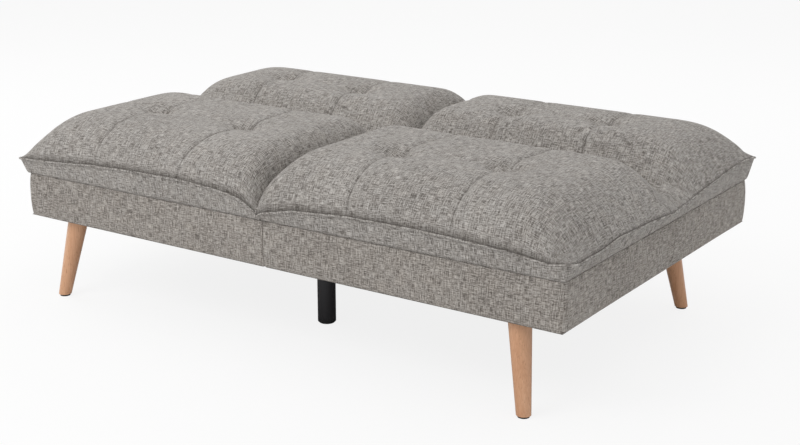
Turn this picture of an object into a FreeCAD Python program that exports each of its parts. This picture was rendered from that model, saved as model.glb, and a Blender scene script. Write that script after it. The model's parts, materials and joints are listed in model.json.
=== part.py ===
import FreeCAD, Part
import math
import os
import Sketcher

# Click clack sofa bed, laid flat as a bed, in millimetres.
# X runs along the sofa, -Y is the seat edge, +Z is up, and the origin is on the floor
# under the middle. The seat half stands on the chassis and the two back halves hinge on it.

doc = FreeCAD.newDocument("click_clack_sofa_bed")
sheet = doc.addObject("Spreadsheet::Sheet", "sizes")

sizes = {
    # the upholstered boxes
    "base_length": 1650,
    "base_depth": 1036,
    "seat_depth": 580,
    "floor_gap": 220,
    "border_height": 118,
    "border_wrap": 5,
    "seam_slope": 0.158,
    "seam_gap": 1,
    "board": 16,
    "board_lift": 1,
    # the hinge line over the seam between seat and back
    "axis_rise": 40,
    "hinge_head": 13,
    "plate": 5,
    "play": 0.3,
    "pin_radius": 5,
    "pin_play": 0.05,
    "ratchet_radius": 34,
    "notch_radius": 4,
    "bolt_radius": 4,
    "bolt_head": 6.5,
    "bolt_head_height": 5,
    "bolt_hole": 4.3,
    "brace_width": 50,
    # the cushions
    "piping_overhang": 15,
    "piping_drop": 8,
    "crown_rise": 122,
    "stitch_spacing": 275,
    "stitch_dip": 9,
    "tuft_dip": 22,
    "seat_crease": -245,
    "back_crease": 285,
    # springs, foam and covers
    "spring_level": 298,
    "spring_wire": 1.9,
    "clip_length": 34,
    "clip_depth": 7,
    "clip_height": 9,
    "cover_cloth": 1,
    "back_recess": 44,
    # steel chassis under the boxes
    "tube": 30,
    "tube_wall": 2,
    "tube_clearance": 6,
    "chassis_level": 226,
    # legs
    "leg_top_x": 691,
    "leg_front_y": -468.5,
    "leg_rear_y": 321,
    "leg_splay": 36,
    "leg_top_radius": 28,
    "leg_foot_radius": 17.5,
    "leg_plate": 3,
    "leg_plate_width": 55,
    "hanger_bolt": 4,
    "hanger_depth": 32,
    "glide": 5,
    "glide_radius": 14,
    "support_y": -267,
    "support_radius": 24,
    "support_wall": 1.5,
    "support_foot": 12,
}
for row, (alias, value) in enumerate(sizes.items(), start=1):
    sheet.set("A%d" % row, str(value))
    sheet.setAlias("A%d" % row, alias)
doc.recompute()


def ref(words):
    """Turn plain size names into references to the sheet's cells."""
    out = []
    for word in words.replace("(", " ( ").replace(")", " ) ").split():
        out.append("sizes." + word if word in sizes else word)
    return " ".join(out)


def value(words):
    """The number that an expression of size names has now."""
    return float(sheet.evalExpression(ref(words)))


# Lines that several pieces share, as expressions of the sizes
HALF = "( base_length / 2 )"
FRONT = "( 0 - base_depth / 2 )"
REAR = "( base_depth / 2 )"
BOTTOM = "floor_gap"
TUCK = "( floor_gap + border_height )"
AXIS_Y = "( seat_depth - base_depth / 2 )"
AXIS_Z = "( floor_gap + border_height + axis_rise )"
BOARD_LOW = "( floor_gap + board_lift )"
BOARD_TOP = "( floor_gap + border_height - play )"
TUBE_TOP = "( chassis_level + tube )"
BRACE = "( brace_width / 2 )"
END_FACE = "( base_length / 2 - border_wrap - board )"
BACK_END_FACE = "( base_length / 2 - border_wrap - board - plate - play )"
BACK_BRACE_FACE = "( brace_width / 2 + plate + play )"


def seam(level, shift):
    """Y of the sloping seam plane at a level, moved rearwards by shift."""
    return "( %s - ( %s - ( %s ) ) * seam_slope + ( %s ) )" % (AXIS_Y, AXIS_Z, level, shift)


def span(side, inner, outer):
    """Start and length along X of something between two distances from the middle."""
    start = inner if side > 0 else "( 0 - %s )" % outer
    return start, "( %s - %s )" % (outer, inner)


def bind(thing, **properties):
    for name, words in properties.items():
        thing.setExpression(name.replace("_at_", "."), ref(words))
    return thing


def put(thing, x="0", y="0", z="0"):
    return bind(thing, Placement_at_Base_at_x=x, Placement_at_Base_at_y=y, Placement_at_Base_at_z=z)


def box(name, x, y, z, length, width, height):
    piece = doc.addObject("Part::Box", name)
    bind(piece, Length=length, Width=width, Height=height)
    return put(piece, x, y, z)


AXES = {
    "X": FreeCAD.Rotation(FreeCAD.Vector(0, 1, 0), 90),
    "Y": FreeCAD.Rotation(FreeCAD.Vector(1, 0, 0), -90),
    "Z": FreeCAD.Rotation(),
}


def rod(name, axis, x, y, z, radius, length):
    piece = doc.addObject("Part::Cylinder", name)
    piece.Placement = FreeCAD.Placement(FreeCAD.Vector(), AXES[axis])
    bind(piece, Radius=radius, Height=length)
    return put(piece, x, y, z)


def cut(name, base, tools):
    if len(tools) > 1:
        tool = doc.addObject("Part::MultiFuse", name + "_tools")
        tool.Shapes = tools
    else:
        tool = tools[0]
    piece = doc.addObject("Part::Cut", name)
    piece.Base = base
    piece.Tool = tool
    return piece


def fuse(name, shapes):
    piece = doc.addObject("Part::MultiFuse", name)
    piece.Shapes = shapes
    return piece


def group(name, shapes):
    piece = doc.addObject("Part::Compound", name)
    piece.Links = shapes
    return piece


def plane_of(body, role):
    return next(plane for plane in body.Origin.OriginFeatures if plane.Role == role)


def sketch_on(body, name, role):
    sketch = body.newObject("Sketcher::SketchObject", name)
    sketch.AttachmentSupport = (plane_of(body, role), "")
    sketch.MapMode = "FlatFace"
    return sketch


def fix(sketch, kind, index, point, words):
    """Hold a point's distance from the sketch's origin to an expression."""
    number = sketch.addConstraint(Sketcher.Constraint(kind, -1, 1, index, point, value(words)))
    sketch.setExpression("Constraints[%d]" % number, ref(words))


def draw_outline(sketch, corners):
    first = sketch.GeometryCount
    count = len(corners)
    places = [FreeCAD.Vector(value(a), value(b), 0) for a, b in corners]
    for i in range(count):
        sketch.addGeometry(Part.LineSegment(places[i], places[(i + 1) % count]), False)
    for i in range(count):
        following = first + (i + 1) % count
        sketch.addConstraint(Sketcher.Constraint("Coincident", first + i, 2, following, 1))
    for i, (a, b) in enumerate(corners):
        fix(sketch, "DistanceX", first + i, 1, a)
        fix(sketch, "DistanceY", first + i, 1, b)


def draw_circle(sketch, a, b, radius):
    index = sketch.GeometryCount
    centre = FreeCAD.Vector(value(a), value(b), 0)
    sketch.addGeometry(Part.Circle(centre, FreeCAD.Vector(0, 0, 1), value(radius)), False)
    fix(sketch, "DistanceX", index, 3, a)
    fix(sketch, "DistanceY", index, 3, b)
    number = sketch.addConstraint(Sketcher.Constraint("Radius", index, value(radius)))
    sketch.setExpression("Constraints[%d]" % number, ref(radius))


def plate_body(name, role, length, corners, holes=()):
    """A body padded from a straight-sided outline, with round holes."""
    body = doc.addObject("PartDesign::Body", name)
    sketch = sketch_on(body, name + "_outline", role)
    draw_outline(sketch, corners)
    for a, b, radius in holes:
        draw_circle(sketch, a, b, radius)
    pad = body.newObject("PartDesign::Pad", name + "_pad")
    pad.Profile = sketch
    bind(pad, Length=length)
    return body


def side_body(name, start, length, corners, holes=()):
    """A body whose outline is seen from the end of the sofa, padded along X."""
    return put(plate_body(name, "YZ_Plane", length, corners, holes), start)


def turned_body(name, corners):
    """A body turned about the Z axis from half of its section, radius then height."""
    body = doc.addObject("PartDesign::Body", name)
    sketch = sketch_on(body, name + "_section", "XZ_Plane")
    draw_outline(sketch, corners)
    turn = body.newObject("PartDesign::Revolution", name + "_turn")
    turn.Profile = sketch
    turn.ReferenceAxis = (sketch, ["V_Axis"])
    turn.Angle = 360
    return body


kept = {}


def keep(name, piece):
    piece.Label = name
    kept[name] = piece

# Chassis: welded square tube, two long arms and three cross tubes, with bolt holes
ARM_IN = "( leg_top_x - tube / 2 )"
ARM_OUT = "( leg_top_x + tube / 2 )"
ARM_FRONT = "( leg_front_y - tube / 2 )"
ARM_REAR = "( leg_rear_y + tube / 2 )"
CROSS_LINES = {"front": "leg_front_y", "middle": "support_y", "rear": "leg_rear_y"}
CORNERS = [(end, side) for end in ("front", "rear") for side in (-1, 1)]
SIDE_NAMES = {-1: "left", 1: "right"}


def leg_top(end, side):
    return ("leg_top_x" if side > 0 else "( 0 - leg_top_x )"), "leg_%s_y" % end


def square_tube(name, along, start, length, x, y):
    """Outer and inner boxes of one tube, which runs along X or Y at chassis level."""
    inside = "( tube - 2 * tube_wall )"
    level = "( chassis_level + tube_wall )"
    if along == "Y":
        outer = box(name + "_outer", "( %s - tube / 2 )" % x, start, "chassis_level", "tube", length, "tube")
        inner = box(name + "_bore", "( %s - tube / 2 + tube_wall )" % x, start, level, inside, length, inside)
    else:
        outer = box(name + "_outer", start, "( %s - tube / 2 )" % y, "chassis_level", length, "tube", "tube")
        inner = box(name + "_bore", start, "( %s - tube / 2 + tube_wall )" % y, level, length, inside, inside)
    return outer, inner


tubes = []
for side in (-1, 1):
    middle = leg_top("front", side)[0]
    length = "( %s - %s )" % (ARM_REAR, ARM_FRONT)
    tubes.append(square_tube("arm_" + SIDE_NAMES[side], "Y", ARM_FRONT, length, middle, ""))
for line, y in CROSS_LINES.items():
    start = "( 0 - leg_top_x )"
    tubes.append(square_tube("cross_" + line, "X", start, "( leg_top_x * 2 )", "", y))
bolt_holes = []
for end, side in CORNERS:
    x, y = leg_top(end, side)
    name = "chassis_hole_%s_%s" % (end, SIDE_NAMES[side])
    bolt_holes.append(rod(name, "Z", x, y, "( chassis_level - 1 )", "bolt_hole", "( tube / 2 )"))
bolt_holes.append(rod("chassis_hole_middle", "Z", "0", "support_y", "( chassis_level - 1 )",
                      "bolt_hole", "( tube / 2 )"))
chassis_skin = fuse("chassis_outside", [outer for outer, inner in tubes])
keep("chassis_frame", cut("chassis_frame", chassis_skin, [inner for outer, inner in tubes] + bolt_holes))

# The seat box: boards round the edge and a brace down the middle
FRONT_BOARD_BACK = "( %s + border_wrap + board )" % FRONT
REAR_BOARD_SHIFT = "0 - seam_gap - border_wrap"
board_height = "( border_height - play - board_lift )"


def arm_slots(name, clearance, front, depth):
    """Cutters that let the two chassis arms pass through a board or a border."""
    out = []
    for side in (-1, 1):
        start, width = span(side, "( %s - %s )" % (ARM_IN, clearance), "( %s + %s )" % (ARM_OUT, clearance))
        height = "( chassis_level + tube + %s - floor_gap + 1 )" % clearance
        out.append(box("%s_slot_%s" % (name, SIDE_NAMES[side]), start, front, "( floor_gap - 1 )",
                       width, depth, height))
    return out


keep("seat_front_rail", box("seat_front_rail", "( 0 - %s - board )" % END_FACE,
                            "( %s + border_wrap )" % FRONT,
                            BOARD_LOW, "( 2 * ( %s + board ) )" % END_FACE, "board", board_height))


def rear_rail(shift_near, shift_far):
    return [(seam(BOARD_LOW, shift_near), BOARD_LOW), (seam(BOARD_LOW, shift_far), BOARD_LOW),
            (seam(BOARD_TOP, shift_far), BOARD_TOP), (seam(BOARD_TOP, shift_near), BOARD_TOP)]


seat_rear_blank = side_body("seat_rear_rail_blank", "( 0 - %s )" % END_FACE, "( 2 * %s )" % END_FACE,
                            rear_rail(REAR_BOARD_SHIFT + " - board", REAR_BOARD_SHIFT))
keep("seat_rear_rail", cut("seat_rear_rail", seat_rear_blank,
                           arm_slots("seat_rear", "0", "( %s - seat_depth / 4 )" % AXIS_Y, "( seat_depth / 2 )")))

PLATE_BOLTS = [("48", "58"), ("74", "58"), ("61", "88")]


def seat_bolt_places():
    return [("( %s - %s - 10 )" % (AXIS_Y, along), "( %s - %s )" % (AXIS_Z, down))
            for along, down in PLATE_BOLTS]


def back_bolt_places():
    return [("( %s + %s - 10 )" % (AXIS_Y, along), "( %s - %s )" % (AXIS_Z, down))
            for along, down in PLATE_BOLTS]


for side in (-1, 1):
    name = "seat_end_rail_" + SIDE_NAMES[side]
    start, width = span(side, END_FACE, "( %s + board )" % END_FACE)
    corners = [(FRONT_BOARD_BACK, BOARD_LOW), (seam(BOARD_LOW, REAR_BOARD_SHIFT), BOARD_LOW),
               (seam(BOARD_TOP, REAR_BOARD_SHIFT), BOARD_TOP), (FRONT_BOARD_BACK, BOARD_TOP)]
    holes = [(y, z, "bolt_radius") for y, z in seat_bolt_places()]
    keep(name, side_body(name, start, width, corners, holes))

brace_low = "( %s + play )" % TUBE_TOP
brace_corners = [(FRONT_BOARD_BACK, brace_low), (seam(brace_low, REAR_BOARD_SHIFT + " - board"), brace_low),
                 (seam(BOARD_TOP, REAR_BOARD_SHIFT + " - board"), BOARD_TOP), (FRONT_BOARD_BACK, BOARD_TOP)]
keep("seat_center_brace", side_body("seat_center_brace", "( 0 - %s )" % BRACE, "brace_width", brace_corners,
                                    [(y, z, "bolt_radius") for y, z in seat_bolt_places()]))


def cross_tube_slot(name):
    """A cutter that clears the rear cross tube while the back lifts, which first carries it rearwards."""
    return box(name, "( 0 - leg_top_x / 2 )", "( leg_rear_y - tube / 2 - 3 * tube_clearance )",
               "( floor_gap - 1 )", "leg_top_x", "( tube + 4 * tube_clearance )",
               "( chassis_level + tube + tube_clearance - floor_gap + 1 )")


# Borders: padded fabric wrapped round the boards, one for each quarter of the sofa
def border(name, side, front_outer, front_inner, rear_outer, rear_inner, closed_inside, slots):
    inner_edge = "( seam_gap / 2 )"
    start, width = span(side, inner_edge, HALF)
    skin = side_body(name + "_outside", start, width,
                     [(front_outer(BOTTOM), BOTTOM), (rear_outer(BOTTOM), BOTTOM),
                      (rear_outer(TUCK), TUCK), (front_outer(TUCK), TUCK)])
    low, high = "( floor_gap - 5 )", "( %s + 5 )" % TUCK
    hollow_edge = "( seam_gap / 2 + border_wrap )" if closed_inside else "0"
    start, width = span(side, hollow_edge, "( %s - border_wrap )" % HALF)
    hollow = side_body(name + "_hollow", start, width,
                       [(front_inner(low), low), (rear_inner(low), low),
                        (rear_inner(high), high), (front_inner(high), high)])
    keep(name, cut(name, skin, [hollow] + slots))


def level_line(words):
    return lambda level: words


def seam_line(shift):
    return lambda level: seam(level, shift)


SLOT_FRONT = "( %s - seat_depth / 4 )" % AXIS_Y
SLOT_DEPTH = "( seat_depth / 2 )"
for side in (-1, 1):
    name = "seat_border_" + SIDE_NAMES[side]
    border(name, side, level_line(FRONT), level_line("( %s + border_wrap )" % FRONT),
           seam_line("0 - seam_gap"), seam_line(REAR_BOARD_SHIFT), False,
           arm_slots(name, "play", SLOT_FRONT, SLOT_DEPTH))
for side in (-1, 1):
    name = "back_%s_border" % SIDE_NAMES[side]
    cross_slot = cross_tube_slot(name + "_cross_slot")
    border(name, side, seam_line("seam_gap"), seam_line("seam_gap + border_wrap"),
           level_line(REAR), level_line("( %s - border_wrap )" % REAR), True,
           arm_slots(name, "tube_clearance", SLOT_FRONT, SLOT_DEPTH) + [cross_slot])

# Back frames: four boards round each half, with room for the arms and the rear cross tube
FRAME_SHIFT = "seam_gap + border_wrap"
REAR_BOARD_FACE = "( %s - border_wrap - board )" % REAR
for side in (-1, 1):
    half = "back_" + SIDE_NAMES[side]
    start, width = span(side, BACK_BRACE_FACE, BACK_END_FACE)
    front_blank = side_body(half + "_front_board_blank", start, width,
                            rear_rail(FRAME_SHIFT, FRAME_SHIFT + " + board"))
    front_board = cut(half + "_front_board", front_blank,
                      arm_slots(half + "_frame", "tube_clearance", SLOT_FRONT, SLOT_DEPTH))
    rear_board = box(half + "_rear_board", start, REAR_BOARD_FACE, BOARD_LOW, width, "board", board_height)
    end_corners = [(seam(BOARD_LOW, FRAME_SHIFT), BOARD_LOW), ("( %s - border_wrap )" % REAR, BOARD_LOW),
                   ("( %s - border_wrap )" % REAR, BOARD_TOP), (seam(BOARD_TOP, FRAME_SHIFT), BOARD_TOP)]
    holes = [(y, z, "bolt_radius") for y, z in back_bolt_places()]
    start, width = span(side, BACK_END_FACE, "( %s - border_wrap )" % HALF)
    end_board = side_body(half + "_end_board", start, width, end_corners, holes)
    start, width = span(side, "( seam_gap / 2 + border_wrap )", BACK_BRACE_FACE)
    inner_blank = side_body(half + "_inner_board_blank", start, width, end_corners, holes)
    inner_board = cut(half + "_inner_board", inner_blank, [cross_tube_slot(half + "_inner_slot")])
    keep(half + "_frame", group(half + "_frame", [front_board, rear_board, end_board, inner_board]))

# Hinges: each back half has one at its outer end and one beside the seat's middle brace
PLATE_OUTLINE = [(0, 13), (72, -10), (98, -38), (98, -116), (50, -116), (50, -38), (0, -13)]
PAWL_PIVOT = (58, -26)
PAWL_OUTLINE = [(58, -19), (31, -18.2), (31, -25.2), (58, -33)]
PAWL_EYE = 7
PAWL_NOSE = 3.5
PAWL_PIN = 3
PIN_HEAD = "3"
SHANK_IN_WOOD = "12"
REST_PAWL_ANGLE = 215
RATCHET_START, RATCHET_END = 137, 270
LOCK_ANGLES = (35, 55, 72)
BAYS = ("outer", "inner")


def at_axis(reach, rise, toward):
    """Y and Z of a point given from the hinge axis, toward the seat edge (-1) or the back edge (1)."""
    return "( %s + %s )" % (AXIS_Y, toward * reach), "( %s + %s )" % (AXIS_Z, rise)


def polar(radius, degrees):
    """Y and Z of a point about the hinge axis, its angle measured from +Y up towards +Z."""
    across, up = math.cos(math.radians(degrees)), math.sin(math.radians(degrees))
    return "( %s + %s * %.6f )" % (AXIS_Y, radius, across), "( %s + %s * %.6f )" % (AXIS_Z, radius, up)


def stack(bay, near, far):
    """Distances from the sofa's middle to a layer of a hinge, counted from the wood it is bolted to."""
    if bay == "outer":
        return "( %s - %s )" % (END_FACE, far), "( %s - %s )" % (END_FACE, near)
    return "( %s + %s )" % (BRACE, near), "( %s + %s )" % (BRACE, far)


def pie(name, first, last, radius, start, length):
    """A sector of a disc about the hinge axis, between two angles measured from +Y up towards +Z."""
    piece = rod(name, "X", start, AXIS_Y, AXIS_Z, radius, length)
    turn = FreeCAD.Rotation(FreeCAD.Vector(1, 0, 0), 90 + first)
    piece.Placement = FreeCAD.Placement(FreeCAD.Vector(), turn.multiply(AXES["X"]))
    piece.Angle = last - first
    return put(piece, start, AXIS_Y, AXIS_Z)


def bolt(name, side, head, shank, y, z):
    start, length = span(side, *head)
    cap = rod(name + "_cap", "X", start, y, z, "bolt_head", length)
    start, length = span(side, *shank)
    return fuse(name, [cap, rod(name + "_shank", "X", start, y, z, "bolt_radius", length)])


SEAT_LAYER = ("0", "plate")
BACK_LAYER = ("( plate + play )", "( 2 * plate + play )")
BACK_FACE = {"outer": "( %s - plate - play )" % END_FACE, "inner": BACK_BRACE_FACE}
bolts = {"seat": [], "back_left": [], "back_right": []}
pins = []
for side in (-1, 1):
    for bay in BAYS:
        spot = "%s_%s" % (SIDE_NAMES[side], bay)
        half = "back_" + SIDE_NAMES[side]
        start, length = span(side, *stack(bay, *SEAT_LAYER))
        arm = side_body(spot + "_seat_plate_arm", start, length,
                        [at_axis(reach, rise, -1) for reach, rise in PLATE_OUTLINE])
        head = rod(spot + "_seat_plate_head", "X", start, AXIS_Y, AXIS_Z, "hinge_head", length)
        pivot_y, pivot_z = at_axis(*PAWL_PIVOT, -1)
        holes = [rod(spot + "_seat_plate_eye", "X", start, AXIS_Y, AXIS_Z, "pin_radius", length),
                 rod(spot + "_seat_plate_pawl_hole", "X", start, pivot_y, pivot_z, str(PAWL_PIN), length)]
        for number, (y, z) in enumerate(seat_bolt_places()):
            holes.append(rod("%s_seat_plate_hole_%d" % (spot, number), "X", start, y, z, "bolt_hole", length))
        seat_blank = fuse(spot + "_seat_plate_blank", [arm, head])
        keep(spot + "_seat_plate", cut(spot + "_seat_plate", seat_blank, holes))

        start, length = span(side, *stack(bay, *BACK_LAYER))
        arm = side_body(spot + "_back_plate_arm", start, length,
                        [at_axis(reach, rise, 1) for reach, rise in PLATE_OUTLINE])
        head = rod(spot + "_back_plate_head", "X", start, AXIS_Y, AXIS_Z, "hinge_head", length)
        sector = pie(spot + "_ratchet", RATCHET_START, RATCHET_END, "ratchet_radius", start, length)
        holes = [rod(spot + "_back_plate_eye", "X", start, AXIS_Y, AXIS_Z, "( pin_radius + pin_play )",
                     length)]
        for number, lock in enumerate(LOCK_ANGLES):
            y, z = polar("ratchet_radius", REST_PAWL_ANGLE - lock)
            holes.append(rod("%s_notch_%d" % (spot, number), "X", start, y, z, "notch_radius", length))
        for number, (y, z) in enumerate(back_bolt_places()):
            holes.append(rod("%s_back_plate_hole_%d" % (spot, number), "X", start, y, z, "bolt_hole", length))
        blank = fuse(spot + "_back_plate_blank", [arm, head, sector])
        keep(spot + "_back_plate", cut(spot + "_back_plate", blank, holes))

        pawl_bar = side_body(spot + "_pawl_bar", start, length,
                             [at_axis(reach, rise, -1) for reach, rise in PAWL_OUTLINE])
        pawl_eye = rod(spot + "_pawl_eye", "X", start, pivot_y, pivot_z, str(PAWL_EYE), length)
        y, z = polar("( ratchet_radius + play + %s )" % PAWL_NOSE, REST_PAWL_ANGLE)
        nose = rod(spot + "_pawl_nose", "X", start, y, z, str(PAWL_NOSE), length)
        hole = rod(spot + "_pawl_hole", "X", start, pivot_y, pivot_z, "( %s + pin_play )" % PAWL_PIN, length)
        pawl_blank = fuse(spot + "_pawl_blank", [pawl_bar, pawl_eye, nose])
        keep(spot + "_pawl", cut(spot + "_pawl", pawl_blank, [hole]))

        layers = [("head", "( 2 * plate + 2 * play )", "( 2 * plate + 2 * play + %s )" % PIN_HEAD,
                   "( hinge_head - 4 )"),
                  ("shank", "( 0 - %s )" % PIN_HEAD, "( 2 * plate + 2 * play )", "pin_radius"),
                  ("tail", "( 0 - %s )" % PIN_HEAD, "0", "( hinge_head - 4 )")]
        solids = []
        for part_name, near, far, radius in layers:
            start, length = span(side, *stack(bay, near, far))
            solids.append(rod("%s_pin_%s" % (spot, part_name), "X", start, AXIS_Y, AXIS_Z, radius, length))
        pins.append(fuse(spot + "_pivot_pin", solids))
        start, length = span(side, *stack(bay, "0", "( 2 * plate + 2 * play )"))
        shank = rod(spot + "_pawl_pin_shank", "X", start, pivot_y, pivot_z, str(PAWL_PIN), length)
        start, length = span(side, *stack(bay, "( 2 * plate + 2 * play )", "( 2 * plate + 2 * play + 2 )"))
        pins.append(fuse(spot + "_pawl_pin", [shank, rod(spot + "_pawl_pin_cap", "X", start, pivot_y, pivot_z,
                                                        "5", length)]))

        for number, (y, z) in enumerate(seat_bolt_places()):
            head = stack(bay, "plate", "( plate + bolt_head_height )")
            shank = stack(bay, "( 0 - %s )" % SHANK_IN_WOOD, "plate")
            bolts["seat"].append(bolt("%s_seat_bolt_%d" % (spot, number), side, head, shank, y, z))
        for number, (y, z) in enumerate(back_bolt_places()):
            head = stack(bay, "( 2 * plate + play )", "( 2 * plate + play + bolt_head_height )")
            shank = stack(bay, "( plate + play - %s )" % SHANK_IN_WOOD, "( 2 * plate + play )")
            bolts[half].append(bolt("%s_back_bolt_%d" % (spot, number), side, head, shank, y, z))
keep("hinge_pins", group("hinge_pins", pins))
for owner, pieces in bolts.items():
    keep(owner + "_hinge_bolts", group(owner + "_hinge_bolts", pieces))

# Legs, their plates, bolts and glides, and the upright support under the middle
LEG_TOP = "( chassis_level - leg_plate )"
HALF_PLATE = "( leg_plate_width / 2 )"
glides, hangers, plates = [], [], []


def mounting_plate(name, x, y):
    corners = [("( %s - %s )" % (x, HALF_PLATE), "( %s - %s )" % (y, HALF_PLATE)),
               ("( %s + %s )" % (x, HALF_PLATE), "( %s - %s )" % (y, HALF_PLATE)),
               ("( %s + %s )" % (x, HALF_PLATE), "( %s + %s )" % (y, HALF_PLATE)),
               ("( %s - %s )" % (x, HALF_PLATE), "( %s + %s )" % (y, HALF_PLATE))]
    return put(plate_body(name, "XY_Plane", "leg_plate", corners, [(x, y, "hanger_bolt")]), z=LEG_TOP)


def hanger(name, x, y):
    return rod(name, "Z", x, y, "( %s - hanger_depth )" % LEG_TOP, "hanger_bolt",
               "( hanger_depth + leg_plate + tube_wall + 8 )")


for end, side in CORNERS:
    name = "%s_%s_leg" % (end, SIDE_NAMES[side])
    x, y = leg_top(end, side)
    out_x = "( %s + %d * leg_splay )" % (x, side)
    out_y = "( %s + %d * leg_splay )" % (y, -1 if end == "front" else 1)
    rings = []
    for ring, (cx, cy, cz, radius) in {"foot": (out_x, out_y, "glide", "leg_foot_radius"),
                                       "top": (x, y, LEG_TOP, "leg_top_radius")}.items():
        circle = doc.addObject("Part::Circle", "%s_%s_ring" % (name, ring))
        put(bind(circle, Radius=radius), cx, cy, cz)
        rings.append(circle)
    taper = doc.addObject("Part::Loft", name + "_taper")
    taper.Sections = rings
    taper.Solid = True
    bore = rod(name + "_bore", "Z", x, y, "( %s - hanger_depth )" % LEG_TOP, "hanger_bolt",
               "( hanger_depth + 1 )")
    keep(name, cut(name, taper, [bore]))
    glides.append(rod(name + "_glide", "Z", out_x, out_y, "0", "glide_radius", "glide"))
    hangers.append(hanger(name + "_hanger", x, y))
    plates.append(mounting_plate(name + "_plate", x, y))
hangers.append(hanger("support_hanger", "0", "support_y"))
plates.append(mounting_plate("support_plate", "0", "support_y"))
keep("leg_glides", group("leg_glides", glides))
keep("hanger_bolts", group("hanger_bolts", hangers))
keep("leg_plates", group("leg_plates", plates))

support_low = "support_foot"
support_length = "( %s - support_foot )" % LEG_TOP
support_bore = "( support_radius - support_wall )"
tube_skin = rod("support_skin", "Z", "0", "support_y", support_low, "support_radius", support_length)
tube_bore = rod("support_bore", "Z", "0", "support_y", support_low, support_bore, support_length)
keep("center_support_leg", cut("center_support_leg", tube_skin, [tube_bore]))
plug_radius = "( %s - 0.1 )" % support_bore
foot = turned_body("center_support_foot",
                   [("0", "0"), ("( support_radius - 4 )", "0"), ("support_radius", "4"),
                    ("support_radius", "support_foot"), (plug_radius, "support_foot"),
                    (plug_radius, "( support_foot + 14 )"), ("0", "( support_foot + 14 )")])
keep("center_support_foot", put(foot, "0", "support_y", "0"))
plug = rod("support_plug_disc", "Z", "0", "support_y", "( %s - hanger_depth )" % LEG_TOP, plug_radius,
           "hanger_depth")
plug_hole = rod("support_plug_hole", "Z", "0", "support_y", "( %s - hanger_depth - 1 )" % LEG_TOP,
                "hanger_bolt", "( hanger_depth + 2 )")
keep("center_support_plug", cut("center_support_plug", plug, [plug_hole]))

# Foam blocks over the springs, and thin dust covers under the boxes
FOAM_IN = "( %s + 17 )" % BRACE
FOAM_OUT = "( %s - 17 )" % END_FACE
FOAM_LOW = "( spring_level + clip_height / 2 + play )"


def foam(name, side, front, rear):
    start, width = span(side, FOAM_IN, FOAM_OUT)
    corners = [(front(FOAM_LOW), FOAM_LOW), (rear(FOAM_LOW), FOAM_LOW),
               (rear(BOARD_TOP), BOARD_TOP), (front(BOARD_TOP), BOARD_TOP)]
    keep(name, side_body(name, start, width, corners))


for side in (-1, 1):
    foam("seat_foam_" + SIDE_NAMES[side], side, level_line("( %s + play )" % FRONT_BOARD_BACK),
         seam_line(REAR_BOARD_SHIFT + " - board - play"))
    foam("back_%s_foam" % SIDE_NAMES[side], side, seam_line(FRAME_SHIFT + " + board + play"),
         level_line("( %s - play )" % REAR_BOARD_FACE))
    name = "back_%s_dust_cover" % SIDE_NAMES[side]
    start, width = span(side, FOAM_IN, FOAM_OUT)
    low = "( floor_gap + back_recess )"
    high = "( floor_gap + back_recess + cover_cloth )"
    corners = [(seam(high, FRAME_SHIFT + " + board + play"), low), ("( %s - play )" % REAR_BOARD_FACE, low),
               ("( %s - play )" % REAR_BOARD_FACE, high), (seam(high, FRAME_SHIFT + " + board + play"), high)]
    keep(name, side_body(name, start, width, corners))
cover = box("seat_dust_cloth", "( 0 - %s - board + play )" % END_FACE,
            "( %s + border_wrap + play )" % FRONT, BOTTOM,
            "( 2 * ( %s + board - play ) )" % END_FACE,
            "( %s - %s - border_wrap - 2 * play )" % (seam(BOTTOM, REAR_BOARD_SHIFT), FRONT), "cover_cloth")
openings = []
for side in (-1, 1):
    x, y = leg_top("front", side)
    openings.append(rod("dust_hole_" + SIDE_NAMES[side], "Z", x, y, "( floor_gap - 1 )",
                        "( leg_top_radius + 2 )", "3"))
openings.append(rod("dust_hole_middle", "Z", "0", "support_y", "( floor_gap - 1 )",
                    "( support_radius + 2 )", "3"))
keep("seat_dust_cover", cut("seat_dust_cover", cover, openings))

# Springs: sinuous wires from board to board, five in each half, with a clip at each end
SPRINGS_IN_HALF = 5
HALF_WAVE = 30
STRAIGHT = 12


def sinuous_wire(middle, front, rear, level, radius):
    """One zigzag spring: straight runs along X joined by half circles."""
    waves = 2 * int((rear - front) / HALF_WAVE / 2) + 1
    step = (rear - front) / waves
    edges = []
    sign = 1
    y = front
    for wave in range(waves + 1):
        near = FreeCAD.Vector(middle - sign * STRAIGHT, y, level)
        far = FreeCAD.Vector(middle + sign * STRAIGHT, y, level)
        edges.append(Part.LineSegment(near, far).toShape())
        if wave < waves:
            beyond = FreeCAD.Vector(far.x, y + step, level)
            bulge = FreeCAD.Vector(far.x + sign * step / 2, y + step / 2, level)
            edges.append(Part.Arc(far, bulge, beyond).toShape())
        y += step
        sign = -sign
    path = Part.Wire(edges)
    start = edges[0].Vertexes[0].Point
    ring = Part.Wire(Part.makeCircle(radius, start, FreeCAD.Vector(1, 0, 0)))
    return path.makePipeShell([ring], True, False)


def feature(name, shape):
    piece = doc.addObject("Part::Feature", name)
    piece.Shape = shape
    return piece


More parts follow.
